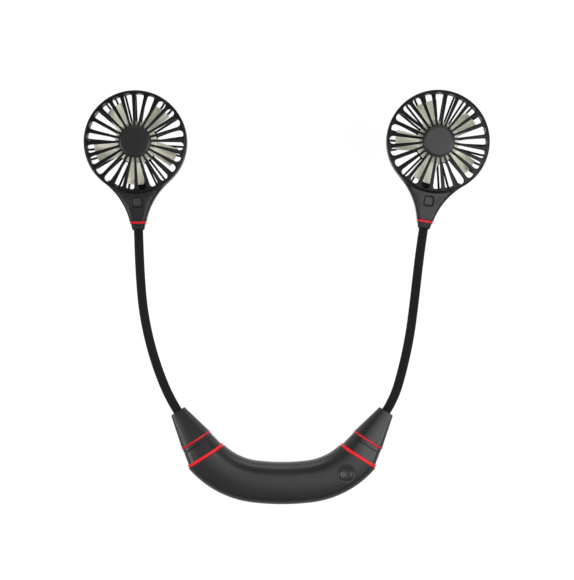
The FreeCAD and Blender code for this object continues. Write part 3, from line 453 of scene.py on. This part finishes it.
finishes["port_steel"] = drawn_metal(
    "port_steel", (0.42, 0.42, 0.43), (0.62, 0.62, 0.62), roughness=0.32, stretch=(1, 1, 0.1))
finishes["screw_steel"] = drawn_metal(
    "screw_steel", (0.30, 0.30, 0.31), (0.50, 0.50, 0.51), roughness=0.36, stretch=(1, 1, 0.2))
finishes["nickel"] = drawn_metal(
    "nickel_strip", (0.55, 0.53, 0.49), (0.72, 0.70, 0.66), roughness=0.30, stretch=(1, 0.1, 1))
finishes["bearing"] = drawn_metal(
    "sintered_bronze", (0.33, 0.20, 0.09), (0.52, 0.34, 0.17), roughness=0.5)
finishes["magnet"] = drawn_metal(
    "bonded_magnet", (0.07, 0.07, 0.075), (0.12, 0.12, 0.125), roughness=0.55)
finishes["stator"] = drawn_metal(
    "stacked_steel", (0.26, 0.25, 0.24), (0.48, 0.47, 0.45), roughness=0.42, stretch=(0.05, 0.05, 1))

# %% The boards and the cell's sleeve
TRACKS_PER_METRE = 420.0
TRACK_WIDTH = 0.06
PADS_PER_METRE = 330.0
DARK_GREEN = (0.006, 0.060, 0.022)
PALE_GREEN = (0.014, 0.125, 0.050)
TIN = (0.52, 0.50, 0.45)
DARK_BLUE = (0.010, 0.050, 0.140)
PALE_BLUE = (0.020, 0.085, 0.210)


def circuit_board():
    """Green lacquer over woven glass, with tracks that show through and tinned pads."""
    board = Finish("circuit_board", {"Coat Weight": 0.3, "Coat Roughness": 0.2})
    place = board.place()
    tracks = board.node("ShaderNodeTexBrick", {"offset": 0.35}, {
        "Vector": place, "Scale": TRACKS_PER_METRE, "Mortar Size": TRACK_WIDTH}, "Fac")
    pads = board.node("ShaderNodeTexVoronoi", {}, {"Vector": place, "Scale": PADS_PER_METRE}, "Distance")
    weave = board.noise(place, 0.4 * MM, 2.0)
    green = board.blend(weave * 0.5 + tracks * 0.5, DARK_GREEN, PALE_GREEN)
    tin = pads.ramp(0.24, 0.20)
    colour = board.blend(tin, green, TIN)
    return board.finish(colour, 0.42 - tin * 0.15, weave + tracks, 0.03 * MM)


def cell_sleeve():
    """The shrunk blue film round the cell, with wrinkles across its length."""
    sleeve = Finish("cell_sleeve")
    clouds = sleeve.noise(sleeve.place(), 4 * MM, 3.0)
    wrinkles = sleeve.noise(sleeve.place(stretch=(1.0, 0.15, 0.15)), 1.5 * MM, 2.0)
    colour = sleeve.blend(clouds, DARK_BLUE, PALE_BLUE)
    return sleeve.finish(colour, 0.26 + wrinkles * 0.16, wrinkles, 0.06 * MM)


finishes["circuit_board"] = circuit_board()
finishes["cell_wrap"] = cell_sleeve()

# %% [markdown]
# ## Finishing the CAD nodes
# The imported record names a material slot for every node. Each node keeps its shape and gets the finish of its
# slot. The rotors and the covers get the finish that is centred on their own fan's axis, and the thin bands
# get the deeper red. The arms are left out here, because the braided sleeves take their place.

# %% Hand the finishes out
slot_of = {part["node"]: part["material_slot"] for part in frame["record"]["subparts"]}
for name, piece in nodes.items():
    slot = slot_of[name]
    if slot in ("blade", "cover"):
        slot = name.split("_")[0] + "_" + slot
    if name.endswith(("_trim_ring", "_neck_ring")):
        slot = "thin_ring"
    if slot in finishes:
        piece.data.materials.clear()
        piece.data.materials.append(finishes[slot])
print("slots", sorted(set(slot_of.values())))

# %% [markdown]
# ## Braided arms
# Each arm is a bendable steel core in a braided nylon sleeve. The sleeve is a tube of yarns: one set winds
# to the left, the other to the right, and they pass over and under each other. A grid is rolled round the arm
# with its points lifted where a yarn lies on top, which gives the real relief at a modest count of faces.
# The CAD arm is a chain of rigid lengths, so the sleeve is made in six pieces, each from the middle of one
# length to the middle of the next, and each piece runs in a curve across the joint in its middle.

# %% The line of an arm
SLEEVE_RADIUS = 3.25 * MM
IN_CONE = 9.0 * MM
IN_HEAD = 53.5 * MM
CONE_LEAN = math.radians(57.6)
CURVE_STEPS = 24


def arm_pieces(side):
    """For each of the six joints: the bodies it joins and the points of the sleeve's line across it."""
    bends = arm_joints(side)
    axis = Vector(fan_axis(side))
    corners = [Vector(j["pos_m"]) for j in bends]
    outward = -1 if side == "left" else 1
    first = Vector((outward * math.cos(CONE_LEAN), math.sin(CONE_LEAN), 0))
    last = (axis - corners[-1]).normalized()
    half_length = (corners[1] - corners[0]).length / 2
    halves = [corners[0] - first * half_length]
    halves += [(a + b) / 2 for a, b in zip(corners, corners[1:])]
    halves += [corners[-1] + last * half_length]
    pieces = []
    for k, joint in enumerate(bends):
        a, b, c = halves[k], corners[k], halves[k + 1]
        line = []
        for step in range(CURVE_STEPS + 1):
            t = step / CURVE_STEPS
            line.append(a * (1 - t) ** 2 + b * 2 * t * (1 - t) + c * t ** 2)
        if k == 0:
            line.insert(0, halves[0] - first * IN_CONE)
        if k == len(bends) - 1:
            line.append(axis - last * IN_HEAD)
        pieces.append((joint["parent"], joint["child"], halves[k], halves[k + 1], line))
    return pieces


for side in SIDES:
    near, far, start, end, line = arm_pieces(side)[0]
    print(side, "sleeve begins on", near, "at", [round(v / MM, 1) for v in line[0]])

# %% The height of the braid
YARNS = 16
CELL = 2 * math.pi * SLEEVE_RADIUS / YARNS
RELIEF = 0.26 * MM
YARN_ROUND = 3.6
YARN_DIP = 1.5


def yarn_height(x, y):
    """Relief of the braid from 0 to 1, with x and y counted in yarns round and along the sleeve."""
    left, right = x + y, x - y
    over = (math.floor(left) + math.floor(right)) % 2 == 0
    across = (left if over else right) % 1.0 - 0.5
    along = (right if over else left) % 1.0 - 0.5
    return math.sqrt(max(0.0, 1 - YARN_ROUND * across * across)) * (1 - YARN_DIP * along * along)


print("yarns of", round(CELL / MM, 2), "mm round the sleeve")

# %% Roll a braided piece
STEPS = 6
WELD = 0.01 * MM
SMOOTH_BELOW = math.radians(70)
UP = Vector((0, 0, 1))


def point_on(line, lengths, at):
    """Point and direction at a length along a line of points."""
    k = 0
    while k < len(line) - 2 and lengths[k + 1] < at:
        k += 1
    share = (at - lengths[k]) / (lengths[k + 1] - lengths[k])
    return line[k].lerp(line[k + 1], share), (line[k + 1] - line[k]).normalized()


def braided_piece(name, line, run):
    """A closed sleeve along a line. Run is the length of sleeve before it, so that the braid carries on."""
    lengths = [0.0]
    for a, b in zip(line, line[1:]):
        lengths.append(lengths[-1] + (b - a).length)
    rows = round(lengths[-1] / CELL * STEPS)
    bpy.ops.object.select_all(action="DESELECT")
    bpy.ops.mesh.primitive_grid_add(x_subdivisions=YARNS * STEPS, y_subdivisions=rows, size=1.0)
    sleeve = bpy.context.object
    sleeve.name = name
    mesh = sleeve.data
    uv = mesh.uv_layers.active.data
    for loop in mesh.loops:
        co = mesh.vertices[loop.vertex_index].co
        uv[loop.index].uv = ((co.x + 0.5) * YARNS, (run + (co.y + 0.5) * lengths[-1]) / CELL)
    for vertex in mesh.vertices:
        turn, at = vertex.co.x + 0.5, (vertex.co.y + 0.5) * lengths[-1]
        centre, ahead = point_on(line, lengths, at)
        aside = ahead.cross(UP)
        angle = 2 * math.pi * turn
        radius = SLEEVE_RADIUS - RELIEF * (1 - yarn_height(turn * YARNS, (run + at) / CELL))
        vertex.co = centre + (aside * math.cos(angle) + UP * math.sin(angle)) * radius
    bpy.ops.object.mode_set(mode="EDIT")
    bpy.ops.mesh.select_all(action="SELECT")
    bpy.ops.mesh.remove_doubles(threshold=WELD)
    bpy.ops.mesh.fill_holes(sides=0)
    bpy.ops.mesh.select_all(action="SELECT")
    bpy.ops.mesh.normals_make_consistent(inside=False)
    bpy.ops.object.mode_set(mode="OBJECT")
    bpy.ops.object.shade_smooth_by_angle(angle=SMOOTH_BELOW)
    return sleeve, run + lengths[-1]


# %% [markdown]
# ## Finish of the braid
# The sleeve's own UV map counts yarns, so the finish knows which yarn lies on top at each point. Every yarn
# is a bundle of filaments that run along it, painted shade darkens the hollows between the yarns and painted
# light brightens their crowns, and each yarn has its own slight tone. Nylon has a soft sheen.

# %% The braid's finish
FILAMENTS = 7
CROWN_ROUND = 2.8
CROWN_DIP = 1.2
# The braid runs from its dark to its pale tone: painted shade in the hollows and painted light on the crowns of
# the yarns, with each yarn's own tone and fuzz.
BRAID_DARK_AND_SHADE = (0.0008, 0.0008, 0.0009)
BRAID_PALE_AND_LIT = (0.0077, 0.0077, 0.0084)


def braid_finish():
    """Black nylon yarns, which follow the sleeve's UV map."""
    braid = Finish("braided_nylon", {"Specular IOR Level": 0.12})
    x, y = braid.split(braid.node("ShaderNodeTexCoord", {}, {}, "UV"))[:2]
    left, right = x + y, x - y
    even = (left.maths("FLOOR") + right.maths("FLOOR")) * 0.5
    under = (even.maths("FRACT") * 2).maths("ROUND")
    across = left * (1 - under) + right * under
    along = right * (1 - under) + left * under
    filaments = (across * (2 * math.pi * FILAMENTS)).maths("SINE") * 0.5 + 0.5
    middle = across.maths("FRACT") - 0.5
    end = along.maths("FRACT") - 0.5
    # Painted light on the middle of each yarn, falling to painted shade at its sides and ends.
    painted_crown_light = 1 - middle * middle * CROWN_ROUND - end * end * CROWN_DIP
    yarn = braid.node("ShaderNodeCombineXYZ", {}, {"X": across.maths("FLOOR"), "Y": under * 7.0, "Z": 0.5})
    tone = braid.node("ShaderNodeTexWhiteNoise", {"noise_dimensions": "3D"}, {"Vector": yarn}, "Value")
    fuzz = braid.noise(braid.place(), 0.2 * MM, 2.0)
    light = painted_crown_light * 0.45 + filaments * painted_crown_light * 0.22 + tone * 0.18 + fuzz * 0.20
    colour = braid.blend(light, BRAID_DARK_AND_SHADE, BRAID_PALE_AND_LIT)
    shine = 0.50 + fuzz * 0.18 + tone * 0.10
    return braid.finish(colour, shine, filaments * 0.6 + fuzz * 0.5, 0.05 * MM)


finishes["braid"] = braid_finish()

# %% Both arms
BLEND_INSET = 0.06

for side in SIDES:
    run = 0.0
    for k, (near, far, start, end, line) in enumerate(arm_pieces(side)):
        sleeve, run = braided_piece(side + "_sleeve_" + str(k + 1), line, run)
        sleeve.data.materials.append(finishes["braid"])
        inset = (end - start) * BLEND_INSET
        start + inset
        end - inset
        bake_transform(sleeve)
        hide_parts(side + "_arm_" + str(k))
        if k == 5:
            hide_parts(side + "_arm_6")
    print(side, "sleeve", round(run / MM, 1), "mm,", len(sleeve.data.polygons), "faces in its last piece")

# %% [markdown]
# ## Floor and room
# The picture is a studio shot from straight above on white. The floor shows itself as almost pure white and
# keeps a faint share of the part's shadow. It lies lower than the arms can bend down, so that it never hides
# a fan. Round it stands a white wall, which is painted into the world and shows only to the camera and in
# gloss and glass, while the rest of the room gives a weak even light.

# %% Floor
WHITE = (1, 1, 1, 1)
FLOOR_SIZE = 12.0
FLOOR_MIDDLE = (0, 0.13)
FLOOR_DEPTH = 0.135
FLOOR_GLOW = 1.03
# The share of the glow near the part, and how far from the middle it begins to grow and is full.
GLOW_SHARE = 0.86
GLOW_GROWS = 0.25
GLOW_FULL = 0.80

bpy.ops.object.select_all(action="DESELECT")
bpy.ops.mesh.primitive_plane_add(size=FLOOR_SIZE, location=(*FLOOR_MIDDLE, -FLOOR_DEPTH))
floor = bpy.context.object
floor.name = "floor"
paper = Finish("white_paper", {"Roughness": 0.8})
fibres = paper.noise(paper.place(), 3 * MM, 2.0)
paper.finish(paper.blend(fibres, (0.80, 0.80, 0.80), (0.84, 0.84, 0.84)))
glow = paper.node("ShaderNodeEmission", {}, {"Color": WHITE, "Strength": FLOOR_GLOW})
away = paper.length(paper.place())
share = paper.backdrop_rays() * away.ramp(GLOW_GROWS, GLOW_FULL, GLOW_SHARE, 1.0)
paper.show(paper.mix(share, paper.shader, glow))
floor.data.materials.append(paper.material)
print("floor", FLOOR_DEPTH / MM, "mm below the part")

# %% Room
ROOM_LIGHT = 0.24
WALL_TOP = 0.20
WALL_FADE = 0.06

room = bpy.data.worlds.new("studio")
bpy.context.scene.world = room
room.use_nodes = True
air = Graph(room.node_tree, "ShaderNodeOutputWorld")
ceiling = air.node("ShaderNodeBackground", {}, {"Color": WHITE, "Strength": ROOM_LIGHT})
wall = air.node("ShaderNodeBackground", {}, {"Color": WHITE, "Strength": 1.0})
height = air.split(air.node("ShaderNodeTexCoord", {}, {}, "Generated"))[2]
share = air.backdrop_rays() * height.ramp(WALL_TOP + WALL_FADE, WALL_TOP, shape="LINEAR")
air.show(air.mix(share, ceiling, wall))
print("room light", ROOM_LIGHT)

# %% [markdown]
# ## Light and camera
# The key softbox hangs over the right-hand end of the collar, so the right-hand fan shines and the left-hand
# one stays dark. A low softbox beyond the fans draws the bright line along the collar's inner edge, and one
# at each side picks out the cones. The camera looks straight down from far enough to flatten the view.

# %% Softboxes
def softbox(name, place, aim, width, height, power):
    """A rectangular area light that faces a point, with its sizes in metres and its power in watts."""
    lamp = bpy.data.lights.new(name, "AREA")
    lamp.shape = "RECTANGLE"
    lamp.size = width
    lamp.size_y = height
    lamp.energy = power
    holder = bpy.data.objects.new(name, lamp)
    bpy.context.scene.collection.objects.link(holder)
    holder.location = place
    holder.visible_camera = False
    holder.rotation_euler = (Vector(aim) - Vector(place)).to_track_quat("-Z", "Y").to_euler()
    print(name, "at", place, "of", power, "W")


softbox("key_softbox", (0.52, 0.06, 1.5), aim=(0.05, 0.13, 0.0), width=0.85, height=0.85, power=13.0)
softbox("far_softbox", (0.1, 1.5, 0.15), aim=(0.0, 0.12, 0.0), width=1.8, height=0.28, power=9.0)
softbox("left_softbox", (-1.1, 0.0, 0.85), aim=(0.0, 0.1, 0.0), width=0.7, height=0.5, power=13.0)
softbox("right_softbox", (1.1, 0.0, 0.85), aim=(0.0, 0.1, 0.0), width=0.7, height=0.5, power=10.0)

# %% Camera
CAMERA_HEIGHT = 1.2
MIDDLE_HEIGHT = 0.0117
FIELD = 0.406
SENSOR = 36.0
OVER = (0.0035, 0.1349)

lens = bpy.data.cameras.new("camera")
lens.sensor_width = SENSOR
lens.lens = SENSOR * CAMERA_HEIGHT / FIELD
camera = bpy.data.objects.new("camera", lens)
bpy.context.scene.collection.objects.link(camera)
camera.location = (*OVER, MIDDLE_HEIGHT + CAMERA_HEIGHT)
bpy.context.scene.camera = camera
bpy.context.scene.view_settings.view_transform = "Standard"
print("lens", round(lens.lens, 1), "mm")
